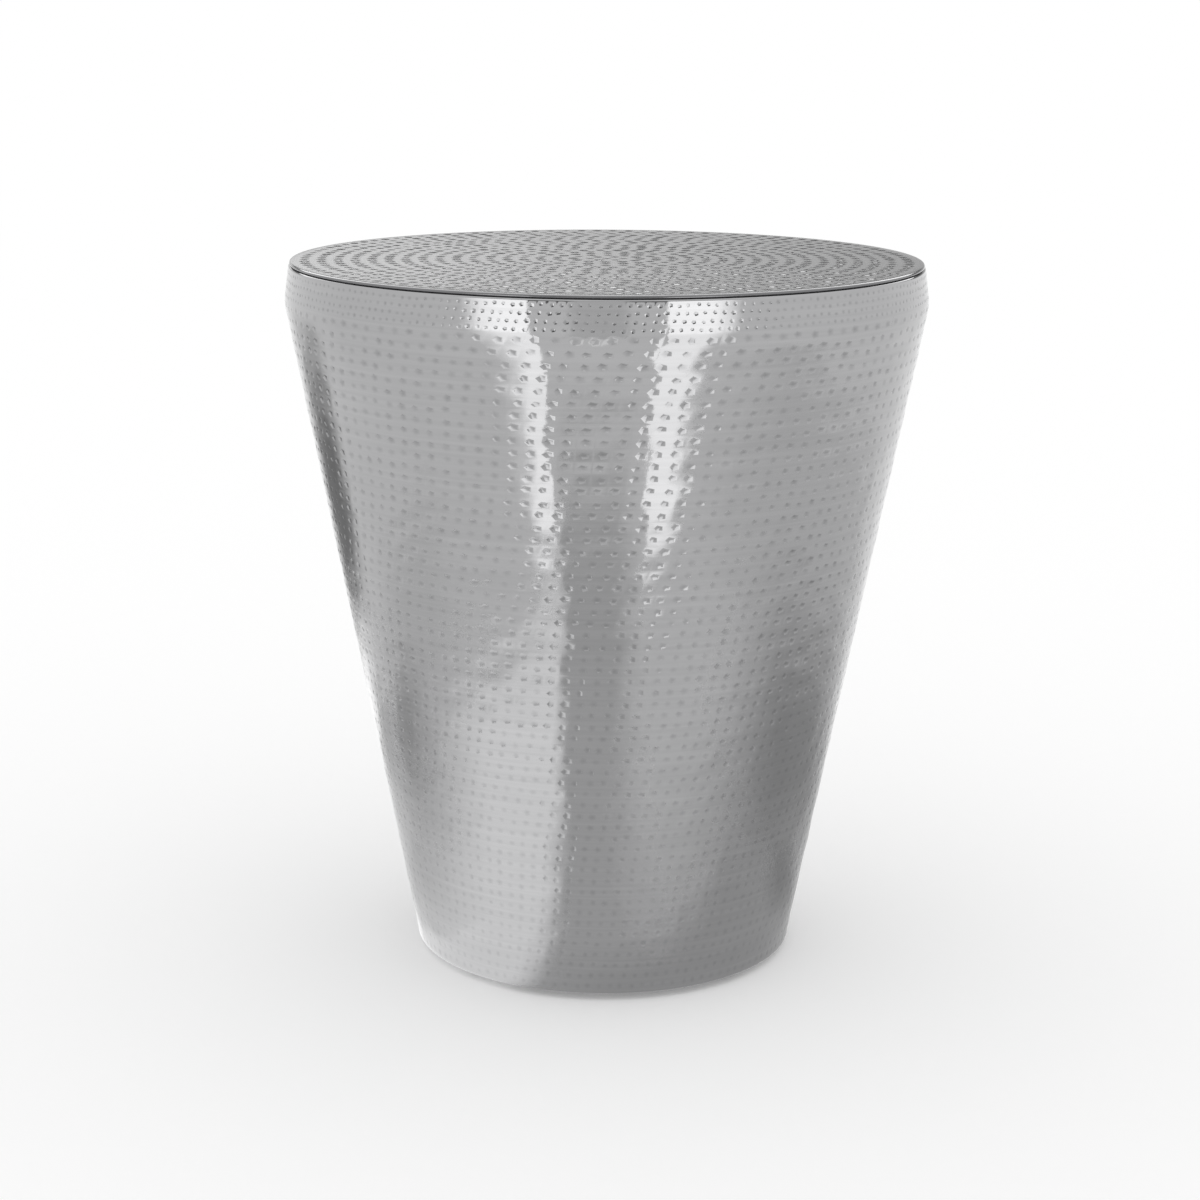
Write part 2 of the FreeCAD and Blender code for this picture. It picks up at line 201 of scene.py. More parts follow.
def new_tree(name, sockets):
    """A geometry tree with a named input for each of its sizes, and those inputs to link from."""
    tree = bpy.data.node_groups.new(name, "GeometryNodeTree")
    tree.interface.new_socket("Geometry", in_out="INPUT", socket_type="NodeSocketGeometry")
    for title, kind in sockets.items():
        tree.interface.new_socket(title, in_out="INPUT", socket_type=kind)
    tree.interface.new_socket("Geometry", in_out="OUTPUT", socket_type="NodeSocketGeometry")
    return tree, node(tree, "NodeGroupInput", {}).outputs


def end_tree(tree, geometry, spare_names, metal):
    """Drops the numbers that were only needed on the way, and ends a tree in plain smooth metal."""
    for name in spare_names:
        geometry = node(tree, "GeometryNodeRemoveAttribute", {"Geometry": geometry, "Name": name}).outputs[0]
    geometry = node(tree, "GeometryNodeSetShadeSmooth", {"Geometry": geometry}).outputs[0]
    geometry = node(tree, "GeometryNodeRealizeInstances", {0: geometry}).outputs[0]
    geometry = node(tree, "GeometryNodeSetMaterial", {"Geometry": geometry, "Material": metal}).outputs[0]
    node(tree, "NodeGroupOutput", {0: geometry})


def grown(tree, mesh, inputs):
    """The plain mesh that a geometry tree makes of a mesh and its named inputs."""
    maker = bpy.data.objects.new(tree.name, mesh)
    bpy.context.scene.collection.objects.link(maker)
    modifier = maker.modifiers.new(tree.name, "NODES")
    modifier.node_group = tree
    for item in tree.interface.items_tree:
        if item.in_out == "INPUT" and item.name in inputs:
            modifier[item.identifier] = inputs[item.name]
    settled = maker.evaluated_get(bpy.context.evaluated_depsgraph_get())
    made = bpy.data.meshes.new_from_object(settled)
    made.polygons.foreach_set("material_index", [0] * len(made.polygons))
    made.materials.clear()
    made.materials.append(inputs["Metal"])
    bpy.data.objects.remove(maker)
    return made


def blow(name, sides, corners):
    """One hammer blow of unit radius: its middle, a ring half way, its rim,
    and where they are asked for, the corners of its cell below it."""
    points = [(0.0, 0.0, 1.0)]
    for reach in (half_way_reach, 1.0):
        for step in range(sides):
            angle = math.tau * (step + 0.5) / sides
            points.append((reach * math.cos(angle), reach * math.sin(angle), 1.0))
    faces = []
    for step in range(sides):
        beside = (step + 1) % sides
        faces.append((0, 1 + step, 1 + beside))
        faces.append((1 + step, 1 + sides + step, 1 + sides + beside, 1 + beside))
    if corners:
        first = len(points)
        points += [(x, y, 0.0) for x, y in ((0.5, 0.5), (-0.5, 0.5), (-0.5, -0.5), (0.5, -0.5))]
        quarters = [4 * (step + 0.5) / sides for step in range(sides)]
        for step in range(sides):
            beside = (step + 1) % sides
            corner = first + int(quarters[step])
            corner_beside = first + int(quarters[beside])
            apex = step if quarters[step] % 1 > 1 - quarters[beside] % 1 else beside
            if corner == corner_beside:
                faces.append((1 + sides + beside, 1 + sides + step, corner))
            else:
                faces.append((1 + sides + apex, corner, corner_beside))
                other_corner = corner_beside if apex == step else corner
                faces.append((1 + sides + beside, 1 + sides + step, other_corner))
    mesh = bpy.data.meshes.new(name)
    mesh.from_pydata(points, [], faces)
    struck = mesh.attributes.new("struck", "FLOAT", "FACE")
    for face in mesh.polygons[:2 * sides]:
        struck.data[face.index].value = 1.0
    made = bpy.data.objects.new(name, mesh)
    bpy.context.scene.collection.objects.link(made)
    return made


def new_finish(name):
    """A new material, its node tree and shader, and the place on the piece that its patterns follow."""
    material = bpy.data.materials.new(name)
    material.use_nodes = True
    tree = material.node_tree
    place = node(tree, "ShaderNodeTexCoord", {}).outputs["Object"]
    return material, tree, tree.nodes["Principled BSDF"], place


def noise(tree, place, scale, detail, distortion=0.0):
    """An uneven pattern, cloudy or grainy by its scale, with values from 0 to 1."""
    inputs = {"Vector": place, "Scale": scale, "Detail": detail, "Distortion": distortion}
    return node(tree, "ShaderNodeTexNoise", inputs).outputs["Fac"]


def toned(tree, tone, low, low_colour, high, high_colour):
    """One colour up to a low tone and another from a high tone on, with a blend between them."""
    blend = node(tree, "ShaderNodeValToRGB", {0: tone})
    first, last = blend.color_ramp.elements
    first.position = low
    first.color = (*low_colour, 1)
    last.position = high
    last.color = (*high_colour, 1)
    return blend.outputs[0]


def put_on(tree, shader, colour, rough, relief, strength, depth):
    """Links a finish's colour, its roughness and its fine relief to the shader."""
    tree.links.new(colour, shader.inputs["Base Color"])
    tree.links.new(rough, shader.inputs["Roughness"])
    bump = node(tree, "ShaderNodeBump", {"Strength": strength, "Distance": depth, "Height": relief})
    tree.links.new(bump.outputs[0], shader.inputs["Normal"])


def metal_finish(name, across_axis, satin):
    """Hammered aluminium, satin where it was turned: fine streaks run round; the dents are darkened, partly
    by patina in them and partly as painted shade.
    """
    material, tree, shader, place = new_finish(name)
    parts = node(tree, "ShaderNodeSeparateXYZ", {0: place}).outputs
    radius = maths(tree, "SQRT", maths(tree, "ADD", maths(tree, "POWER", parts[0], 2.0),
                                       maths(tree, "POWER", parts[1], 2.0)))
    across = parts[2] if across_axis == "height" else radius
    streak_place = node(tree, "ShaderNodeCombineXYZ", {
        0: maths(tree, "MULTIPLY", parts[0], streaks_round),
        1: maths(tree, "MULTIPLY", parts[1], streaks_round),
        2: maths(tree, "MULTIPLY", across, streaks_across)}).outputs[0]
    streaks = noise(tree, streak_place, scale=1.0, detail=4.0)
    cloud = noise(tree, place, scale=9.0, detail=5.0)
    grain = noise(tree, place, scale=900.0, detail=3.0)
    dent = node(tree, "ShaderNodeAttribute", {}, attribute_name="dent").outputs["Fac"]
    tone = maths(tree, "ADD", maths(tree, "MULTIPLY", streaks, 0.6), maths(tree, "MULTIPLY", cloud, 0.4))
    shade = toned(tree, tone, 0.3, metal_dull, 0.7, metal_bright)
    # Dents are mixed towards one grey by their depth: partly patina, partly painted shade.
    patina_and_shade_share = maths(tree, "MULTIPLY", dent, dent_patina_and_shade_share)
    grey = node(tree, "ShaderNodeMix", {"Factor": patina_and_shade_share, "A": shade, "B": (*dent_patina_and_shade, 1)},
                data_type="RGBA")
    shader.inputs["Metallic"].default_value = 1.0
    rough = maths(tree, "ADD", satin, maths(tree, "MULTIPLY", tone, 0.06))
    relief = maths(tree, "ADD", streaks, maths(tree, "MULTIPLY", grain, 0.25))
    put_on(tree, shader, grey.outputs["Result"], rough, relief, strength=0.07, depth=0.0004)
    return material


drum_metal = metal_finish("hammered_drum", "height", drum_satin)
shell_side = bent_sheet(
    [Vector((mouth_radius, seat_height)), Vector((collar_radius, seat_height)),
     Vector((shoulder_radius, shoulder_height)), Vector((foot_radius, foot_height)),
     Vector((foot_opening, foot_height))],
    [mouth_bend, shoulder_bend, hem_bend])
mouth_turn = bend_steps + 1
collar_foot = mouth_turn + 2
foot_turn = 2 * bend_steps + 3
outer_side = [point for point, normal in shell_side]
inner_side = [point - normal * sheet_wall for point, normal in shell_side]

wall_tree, wall = new_tree("hammered_wall", {
    "Dents around": "NodeSocketInt", "Rows": "NodeSocketInt", "Dent share": "NodeSocketFloat",
    "Dent depth": "NodeSocketFloat", "Wander": "NodeSocketFloat", "Row shift": "NodeSocketFloat",
    "Row sway": "NodeSocketFloat", "Unevenness": "NodeSocketFloat", "Depth at foot": "NodeSocketFloat",
    "Seed": "NodeSocketInt", "Blow": "NodeSocketObject", "Metal": "NodeSocketMaterial"})


def hammered_wall():
    """Strikes the drum's wall: a grid of cells wrapped round it, each with one dent that strays a little."""
    tree = wall_tree
    curve = node(tree, "GeometryNodeMeshToCurve", {0: wall["Geometry"]}).outputs[0]
    length = node(tree, "GeometryNodeCurveLength", {0: curve}).outputs[0]
    count = maths(tree, "MULTIPLY", wall["Dents around"], wall["Rows"])
    points = node(tree, "GeometryNodePoints", {"Count": count}).outputs[0]
    index = node(tree, "GeometryNodeInputIndex", {}).outputs[0]
    row = maths(tree, "FLOOR", maths(tree, "DIVIDE", maths(tree, "ADD", index, 0.5), wall["Dents around"]))
    column = maths(tree, "SUBTRACT", index, maths(tree, "MULTIPLY", row, wall["Dents around"]))
    for name, field in (("cell", index), ("row", row), ("column", column)):
        points = store(tree, points, name, field)
    template = node(tree, "GeometryNodeObjectInfo", {"Object": wall["Blow"]}).outputs["Geometry"]
    cells = node(tree, "GeometryNodeInstanceOnPoints", {"Points": points, "Instance": template}).outputs[0]
    cells = node(tree, "GeometryNodeRealizeInstances", {0: cells}).outputs[0]
    cell = stored(tree, "cell")
    row = stored(tree, "row")
    column = stored(tree, "column")
    place = node(tree, "GeometryNodeInputPosition", {}).outputs[0]
    place_x, place_y, struck = node(tree, "ShaderNodeSeparateXYZ", {0: place}).outputs
    middle = maths(tree, "ADD", row, 0.5)
    row_pitch = maths(tree, "DIVIDE", length, wall["Rows"])

    def shift(boundary):
        """How far a row's boundary is turned round the drum, in cells.
        The last one is turned by whole cells, to meet the bend."""
        share = maths(tree, "DIVIDE", boundary, wall["Rows"])
        wave = maths(tree, "SINE", maths(tree, "MULTIPLY", share, row_sways * math.tau))
        sway = maths(tree, "MULTIPLY", wave, wall["Row sway"])
        return maths(tree, "ADD", maths(tree, "MULTIPLY", share, wall["Row shift"]), sway)

    def strayed(seed, size_seed, step):
        """Where a struck point lies along one direction, in cells from the middle of its own cell."""
        size = maths(tree, "MULTIPLY", maths(tree, "MULTIPLY", wall["Dent share"], 0.5),
                     drawn(tree, drum_size_range, cell, wall["Seed"], size_seed))
        room = maths(tree, "SUBTRACT", 0.5, size)
        stray = maths(tree, "MULTIPLY", maths(tree, "MULTIPLY", room, wall["Wander"]),
                      drawn(tree, either_way, cell, wall["Seed"], seed))
        return maths(tree, "ADD", stray, maths(tree, "MULTIPLY", step, size))

    shift_below = shift(row)
    shift_above = shift(maths(tree, "ADD", row, 1.0))
    row_share = between(tree, maths(tree, "ADD", place_y, 0.5), 0.5, struck)
    row_shift = between(tree, shift_below, shift_above, row_share)
    step_x = between(tree, place_x, strayed(1, 2, place_x), struck)
    step_y = between(tree, place_y, strayed(3, 4, place_y), struck)
    along = maths(tree, "ADD", maths(tree, "ADD", maths(tree, "ADD", column, 0.5), row_shift), step_x)
    up = maths(tree, "ADD", middle, step_y)
    angle = maths(tree, "MULTIPLY", maths(tree, "DIVIDE", along, wall["Dents around"]), math.tau)
    sample = node(tree, "GeometryNodeSampleCurve", {
        "Curves": curve, "Length": maths(tree, "MULTIPLY", up, row_pitch)}, mode="LENGTH")
    radius, unused, height = node(tree, "ShaderNodeSeparateXYZ", {0: sample.outputs["Position"]}).outputs
    lean_out, unused, lean_up = node(tree, "ShaderNodeSeparateXYZ", {0: sample.outputs["Tangent"]}).outputs

    rim_share = maths(tree, "ADD", maths(tree, "POWER", maths(tree, "ABSOLUTE", place_x), 2.0),
                      maths(tree, "POWER", maths(tree, "ABSOLUTE", place_y), 2.0))
    bowl = maths(tree, "MULTIPLY", struck, maths(
        tree, "POWER", maths(tree, "SUBTRACT", 1.0, rim_share), 2.0))
    softness = between(tree, wall["Depth at foot"], 1.0, maths(tree, "DIVIDE", middle, wall["Rows"]))
    force = maths(tree, "MULTIPLY", softness, drawn(tree, drum_force_range, cell, wall["Seed"], 6))
    bowl_depth = maths(tree, "MULTIPLY", maths(tree, "MULTIPLY", bowl, force), wall["Dent depth"])

    def sunk(side, end):
        """How deep one corner of a cell lies.
        Cells that meet there agree, and the outer rows meet the bends."""
        corner_column = maths(tree, "FLOORED_MODULO", maths(tree, "ADD", column, side), wall["Dents around"])
        corner_row = maths(tree, "ADD", row, end)
        corner = maths(tree, "ADD", maths(tree, "MULTIPLY", corner_row, wall["Dents around"]), corner_column)
        inside = maths(tree, "MULTIPLY", maths(tree, "GREATER_THAN", corner_row, 0.5), maths(
            tree, "LESS_THAN", corner_row, maths(tree, "SUBTRACT", wall["Rows"], 0.5)))
        own_sink = drawn(tree, corner_sink_range, corner, wall["Seed"], 7)
        row_sink = drawn(tree, row_sink_range, corner_row, wall["Seed"], 8)
        return maths(tree, "MULTIPLY", inside, maths(tree, "ADD", own_sink, row_sink))

    share_y = maths(tree, "ADD", step_y, 0.5)
    share_x = maths(tree, "ADD", maths(tree, "ADD", step_x, 0.5), maths(
        tree, "SUBTRACT", row_shift, between(tree, shift_below, shift_above, share_y)))
    sink = between(tree, between(tree, sunk(0, 0), sunk(1, 0), share_x),
                   between(tree, sunk(0, 1), sunk(1, 1), share_x), share_y)
    sink = maths(tree, "MULTIPLY", sink, wall["Unevenness"])
    half_cell = maths(tree, "DIVIDE", math.pi, wall["Dents around"])
    chord = maths(tree, "SUBTRACT", 1.0, maths(tree, "COSINE", half_cell))
    to_side = maths(tree, "POWER", maths(tree, "SUBTRACT", maths(tree, "MULTIPLY", share_x, 2.0), 1.0), 2.0)
    to_end = maths(tree, "POWER", maths(tree, "SUBTRACT", maths(tree, "MULTIPLY", share_y, 2.0), 1.0), 2.0)
    pillow = maths(tree, "MULTIPLY", maths(tree, "MULTIPLY", radius, chord), maths(
        tree, "MULTIPLY", maths(tree, "SUBTRACT", 1.0, to_side), to_end))
    depth = maths(tree, "ADD", bowl_depth, maths(tree, "ADD", sink, pillow))
    struck_radius = maths(tree, "SUBTRACT", radius, maths(tree, "MULTIPLY", depth, lean_up))
    struck_height = maths(tree, "ADD", height, maths(tree, "MULTIPLY", depth, lean_out))
    to_back = maths(tree, "MULTIPLY", maths(tree, "COSINE", angle), -1.0)
    wrapped = node(tree, "ShaderNodeCombineXYZ", {
        0: maths(tree, "MULTIPLY", struck_radius, maths(tree, "SINE", angle)),
        1: maths(tree, "MULTIPLY", struck_radius, to_back),
        2: struck_height}).outputs[0]
    cells = store(tree, cells, "dent", maths(tree, "MULTIPLY", bowl, force))
    cells = node(tree, "GeometryNodeSetPosition", {"Geometry": cells, "Position": wrapped}).outputs[0]
    cells = node(tree, "GeometryNodeMergeByDistance", {"Geometry": cells, "Distance": weld_reach}).outputs[0]
    end_tree(tree, cells, ("cell", "row", "column"), wall["Metal"])


hammered_wall()
drum_blow = blow("drum_blow", drum_dent_sides, True)


def struck_zone(name, line, inputs):
    """Hammers one zone of the drum, between the two ends of a line of its section."""
    mesh = bpy.data.meshes.new(name)
    mesh.from_pydata([(point.x, 0.0, point.y) for point in line],
                     [(step, step + 1) for step in range(len(line) - 1)], [])
    return grown(wall_tree, mesh, inputs | {"Blow": drum_blow, "Metal": drum_metal})


wall_mesh = struck_zone("wall", outer_side[foot_turn:collar_foot - 1:-1], {
    "Dents around": wall_dents_around, "Rows": wall_dent_rows, "Dent share": wall_dent_share,
    "Dent depth": wall_dent_depth, "Wander": 0.65, "Row shift": 10.0, "Row sway": 0.3, "Unevenness": 0.00055,
    "Depth at foot": 0.5, "Seed": 11})
halve_open_edges(wall_mesh, wall_dents_around)
collar_mesh = struck_zone("collar", outer_side[collar_foot:mouth_turn - 1:-1], {
    "Dents around": collar_dents_around, "Rows": collar_dent_rows, "Dent share": collar_dent_share,
    "Dent depth": collar_dent_depth, "Wander": 0.65, "Row shift": 1.0, "Row sway": 0.0, "Unevenness": 0.0001,
    "Depth at foot": 1.0, "Seed": 31})
bpy.data.objects.remove(drum_blow)
shell_mesh = turned([wall_mesh, collar_mesh],
                    [*outer_side[mouth_turn::-1], *inner_side, *outer_side[:foot_turn - 1:-1]],
                    collar_dents_around)
drum = bpy.data.objects.new("hammered_drum", shell_mesh)
bpy.context.scene.collection.objects.link(drum)
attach(drum, "root")
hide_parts("drum_shell")

# Base board: a ring of birch plywood that lies on the foot's turned-in edge and stiffens it.
# A hand goes up through its middle to the clips; its lower corner is planed off to clear the bend.
ply_thickness = 0.00125
ply_pale = (0.76, 0.6, 0.42)
ply_dark = (0.47, 0.32, 0.19)
veneer_dark = (0.61, 0.44, 0.28)
veneer_pale = (0.8, 0.65, 0.47)
grain_along = 5.0
grain_across = 130.0
grain_up = 40.0


def plywood(name, underside):
    """Birch plywood: a pale face veneer with long grain, and the plies as lines round the edges."""
    material, tree, shader, place = new_finish(name)
    along, across, up = node(tree, "ShaderNodeSeparateXYZ", {0: place}).outputs
    grain_place = node(tree, "ShaderNodeCombineXYZ", {
        0: maths(tree, "MULTIPLY", along, grain_along),
        1: maths(tree, "MULTIPLY", across, grain_across),
        2: maths(tree, "MULTIPLY", up, grain_up)}).outputs[0]
    grain = noise(tree, grain_place, scale=1.0, detail=6.0, distortion=0.6)
    figure = noise(tree, place, scale=14.0, detail=3.0)
    pores = noise(tree, place, scale=1400.0, detail=2.0)
    tone = between(tree, figure, grain, 0.65)
    veneer = toned(tree, tone, 0.3, veneer_dark, 0.68, veneer_pale)
    layer = maths(tree, "FLOORED_MODULO", maths(tree, "DIVIDE", maths(
        tree, "SUBTRACT", up, underside), 2 * ply_thickness), 1.0)
    plies = toned(tree, between(tree, layer, pores, 0.2), 0.46, ply_pale, 0.54, ply_dark)
    lean = node(tree, "ShaderNodeNewGeometry", {}).outputs["True Normal"]
    level = maths(tree, "GREATER_THAN", maths(tree, "ABSOLUTE", node(
        tree, "ShaderNodeSeparateXYZ", {0: lean}).outputs[2]), 0.9)
    wood = node(tree, "ShaderNodeMix", {"Factor": level, "A": plies, "B": veneer}, data_type="RGBA")
    rough = between(tree, 0.5, 0.75, tone)
    relief = between(tree, grain, pores, 0.4)
    put_on(tree, shader, wood.outputs["Result"], rough, relief, strength=0.3, depth=0.0003)
    return material


def dress(material, *names):
    """Gives a finish to pieces whose CAD shape is already the shape they show."""
    for name in names:
        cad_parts[name].material_slots[0].material = material


dress(plywood("base_plywood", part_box("base_board")[0].z), "base_board")

# Base screws: four pan-head wood screws of zinc-plated steel with cross-recessed heads.
# They go up through the foot's turned-in edge into the base board.
zinc_dull = (0.55, 0.55, 0.54)
zinc_bright = (0.74, 0.75, 0.76)
zinc_crystals = 420.0


def zinc_plate(name):
    """Bright zinc plate: small crystals of slightly different lustre, a faint yellow cast, and marks."""
    material, tree, shader, place = new_finish(name)
    crystals = node(tree, "ShaderNodeTexVoronoi", {"Vector": place, "Scale": zinc_crystals}).outputs["Color"]
    lustre = node(tree, "ShaderNodeSeparateXYZ", {0: crystals}).outputs[0]
    marks = noise(tree, place, scale=160.0, detail=5.0)
    plate = toned(tree, between(tree, marks, lustre, 0.35), 0.3, zinc_dull, 0.7, zinc_bright)
    shader.inputs["Metallic"].default_value = 1.0
    put_on(tree, shader, plate, between(tree, 0.22, 0.48, marks), marks, strength=0.2, depth=0.0001)
    return material


zinc = zinc_plate("zinc_plate")
dress(zinc, "base_screws")

# Glides: four turned nylon feet under the foot's turned-in edge, hidden by it from the side.
# Each is held by one wood screw whose head lies in a recess, clear of the floor.
nylon_dark = (0.055, 0.055, 0.058)
nylon_worn = (0.095, 0.095, 0.1)


def black_nylon(name):
    """Moulded nylon: nearly black, with a dull skin that wear has polished in patches."""
    material, tree, shader, place = new_finish(name)
    skin = noise(tree, place, scale=2400.0, detail=2.0)
    wear = noise(tree, place, scale=190.0, detail=4.0)
    shade = toned(tree, wear, 0.35, nylon_dark, 0.7, nylon_worn)
    put_on(tree, shader, shade, between(tree, 0.38, 0.62, wear), skin, strength=0.25, depth=0.00008)
    return material


dress(black_nylon("black_nylon"), "glide_1", "glide_2", "glide_3", "glide_4")
dress(zinc, "glide_screws")

# Top skin: a disc of the same sheet, hammered in rings from the middle outwards.
# Its edge is turned down over the core, and leaves a dark line where it stops just short of the drum; the
# turned-down side is also painted dark, as painted shade in that line.
skin_low, skin_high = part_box("top_skin")
rim_foot = skin_low.z
top_height = skin_high.z
rim_radius = 0.225
rim_bend = 0.0015
top_rings = 18
top_ring_pitch = 0.0119
top_dent_radius = 0.0053
top_dent_depth = 0.0006
top_dent_sides = 12
top_dent_room = 0.45
top_size_range = (0.85, 1.08)
top_force_range = (0.55, 1.2)
top_edge_points = 144
plate_radius = rim_radius - rim_bend
quiet_edge = 0.008
ripples_round = 12.0
ripples_out = 60.0
# Where the painted shade on the rim's turned-down side starts, and how strong it is.
rim_painted_shade_start = 0.4 * rim_bend
rim_painted_shade_force = 2.0
rounding_room = 0.0001
top_satin = 0.1

top_metal = metal_finish("hammered_top", "radius", top_satin)
top_tree, top = new_tree("hammered_rings", {
    "Rings": "NodeSocketInt", "Ring pitch": "NodeSocketFloat", "Dent radius": "NodeSocketFloat",
    "Dent depth": "NodeSocketFloat", "Dent sides": "NodeSocketInt", "Wander": "NodeSocketFloat",
    "Plate radius": "NodeSocketFloat", "Edge points": "NodeSocketInt", "Height": "NodeSocketFloat",
    "Unevenness": "NodeSocketFloat", "Seed": "NodeSocketInt", "Blow": "NodeSocketObject",
    "Metal": "NodeSocketMaterial"})


def hammered_rings():
    """Strikes the top: rings of dents with six more in each, and the flat plate between them."""
    tree = top_tree
    index = node(tree, "GeometryNodeInputIndex", {}).outputs[0]
    rings = top["Rings"]
    count = maths(tree, "ADD", 1.0, maths(tree, "MULTIPLY", 3.0, maths(
        tree, "MULTIPLY", rings, maths(tree, "ADD", rings, 1.0))))
    points = node(tree, "GeometryNodePoints", {"Count": count}).outputs[0]
    number = maths(tree, "MAXIMUM", maths(tree, "SUBTRACT", index, 1.0), 0.0)
    root = maths(tree, "SQRT", maths(tree, "ADD", 9.0, maths(tree, "MULTIPLY", number, 12.0)))
    ring_reached = maths(tree, "DIVIDE", maths(tree, "ADD", root, 3.0), 6.0)
    ring = maths(tree, "FLOOR", maths(tree, "ADD", ring_reached, rounding_room))
    before = maths(tree, "MULTIPLY", 3.0, maths(tree, "MULTIPLY", ring, maths(tree, "SUBTRACT", ring, 1.0)))
    in_ring = maths(tree, "SUBTRACT", number, before)
    share = maths(tree, "DIVIDE", in_ring, maths(tree, "MULTIPLY", ring, 6.0))
    start = drawn(tree, (0.0, 1.0), ring, top["Seed"], 1)
    angle = maths(tree, "MULTIPLY", maths(tree, "ADD", share, start), math.tau)
    out = maths(tree, "MULTIPLY", maths(tree, "MULTIPLY", ring, top["Ring pitch"]),
                maths(tree, "GREATER_THAN", index, 0.5))
    room = maths(tree, "MULTIPLY", top["Wander"], maths(
        tree, "SUBTRACT", maths(tree, "MULTIPLY", top["Ring pitch"], top_dent_room), top["Dent radius"]))

    def strayed(seed):
        return maths(tree, "MULTIPLY", room, drawn(tree, either_way, index, top["Seed"], seed))

    place_x = maths(tree, "ADD", maths(tree, "MULTIPLY", out, maths(tree, "COSINE", angle)), strayed(2))
    place_y = maths(tree, "ADD", maths(tree, "MULTIPLY", out, maths(tree, "SINE", angle)), strayed(3))
    place = node(tree, "ShaderNodeCombineXYZ", {0: place_x, 1: place_y}).outputs[0]
    points = node(tree, "GeometryNodeSetPosition", {"Geometry": points, "Position": place}).outputs[0]
    points = store(tree, points, "force", drawn(tree, top_force_range, index, top["Seed"], 4))
    size = maths(tree, "MULTIPLY", top["Dent radius"], drawn(tree, top_size_range, index, top["Seed"], 5))
    scale = node(tree, "ShaderNodeCombineXYZ", {0: size, 1: size, 2: 1.0}).outputs[0]
    hole = node(tree, "GeometryNodeCurvePrimitiveCircle", {"Resolution": top["Dent sides"], "Radius": 1.0})
    hole_turn = node(tree, "GeometryNodeTransform", {
        "Geometry": hole.outputs[0], "Rotation": (0.0, 0.0, math.pi / top_dent_sides)}).outputs[0]
    holes = node(tree, "GeometryNodeInstanceOnPoints",
                 {"Points": points, "Instance": hole_turn, "Scale": scale}).outputs[0]
    holes = node(tree, "GeometryNodeRealizeInstances", {0: holes}).outputs[0]
    edge = node(tree, "GeometryNodeCurvePrimitiveCircle",
                {"Resolution": top["Edge points"], "Radius": top["Plate radius"]}).outputs[0]
    lines = node(tree, "GeometryNodeJoinGeometry", {})
    tree.links.new(holes, lines.inputs[0])
    tree.links.new(edge, lines.inputs[0])
    plate = node(tree, "GeometryNodeFillCurve", {0: lines.outputs[0]}, mode="TRIANGLES").outputs[0]
    template = node(tree, "GeometryNodeObjectInfo", {"Object": top["Blow"]}).outputs["Geometry"]
    bowls = node(tree, "GeometryNodeInstanceOnPoints",
                 {"Points": points, "Instance": template, "Scale": scale}).outputs[0]
    struck = node(tree, "GeometryNodeInputPosition", {}).outputs[0]
    bowls = node(tree, "GeometryNodeRealizeInstances", {0: bowls}).outputs[0]
    dent = maths(tree, "MULTIPLY", stored(tree, "bowl"), stored(tree, "force"))
    bowls = store(tree, bowls, "dent", dent)
    parts = node(tree, "ShaderNodeSeparateXYZ", {0: struck}).outputs
    sunk = node(tree, "ShaderNodeCombineXYZ", {
        0: parts[0], 1: parts[1],
        2: maths(tree, "MULTIPLY", maths(tree, "MULTIPLY", dent, top["Dent depth"]), -1.0)}).outputs[0]
    bowls = node(tree, "GeometryNodeSetPosition", {"Geometry": bowls, "Position": sunk}).outputs[0]
    sheet = node(tree, "GeometryNodeJoinGeometry", {})
    tree.links.new(bowls, sheet.inputs[0])
    tree.links.new(plate, sheet.inputs[0])
    whole = node(tree, "GeometryNodeMergeByDistance",
                 {"Geometry": sheet.outputs[0], "Distance": weld_reach}).outputs[0]
    centre_distance = node(tree, "ShaderNodeVectorMath", {0: struck}, operation="LENGTH").outputs["Value"]
    from_edge = maths(tree, "SUBTRACT", top["Plate radius"], centre_distance)
    edge_share = maths(tree, "DIVIDE", from_edge, quiet_edge)
    fade = maths(tree, "MINIMUM", maths(tree, "MAXIMUM", edge_share, 0.0), 1.0)
    ripple_place = node(tree, "ShaderNodeCombineXYZ", {
        0: maths(tree, "MULTIPLY", parts[0], ripples_round),
        1: maths(tree, "MULTIPLY", parts[1], ripples_round),
        2: maths(tree, "MULTIPLY", centre_distance, ripples_out)}).outputs[0]
    ripple = noise(tree, ripple_place, scale=1.0, detail=2.0)
    sink = maths(tree, "MULTIPLY", maths(tree, "MULTIPLY", fade, ripple), top["Unevenness"])
    lift = node(tree, "ShaderNodeCombineXYZ", {2: maths(tree, "SUBTRACT", top["Height"], sink)}).outputs[0]
    whole = node(tree, "GeometryNodeSetPosition", {"Geometry": whole, "Offset": lift}).outputs[0]
    end_tree(tree, whole, ("force", "bowl"), top["Metal"])


hammered_rings()
top_blow = blow("top_blow", top_dent_sides, False)
bowl_shares = top_blow.data.attributes.new("bowl", "FLOAT", "POINT")
for vertex in top_blow.data.vertices:
    bowl_shares.data[vertex.index].value = (1 - vertex.co.x ** 2 - vertex.co.y ** 2) ** 2
    vertex.co.z = 0.0
top_mesh = grown(top_tree, bpy.data.meshes.new("top_start"), {
    "Rings": top_rings, "Ring pitch": top_ring_pitch, "Dent radius": top_dent_radius,
    "Dent depth": top_dent_depth, "Dent sides": top_dent_sides, "Wander": 0.5, "Plate radius": plate_radius,
    "Edge points": top_edge_points, "Height": top_height, "Unevenness": 0.00015, "Seed": 23,
    "Blow": top_blow, "Metal": top_metal})
bpy.data.objects.remove(top_blow)
rim_side = bent_sheet([Vector((plate_radius - rim_bend, top_height)), Vector((rim_radius, top_height)),
                       Vector((rim_radius, rim_foot))], [rim_bend])
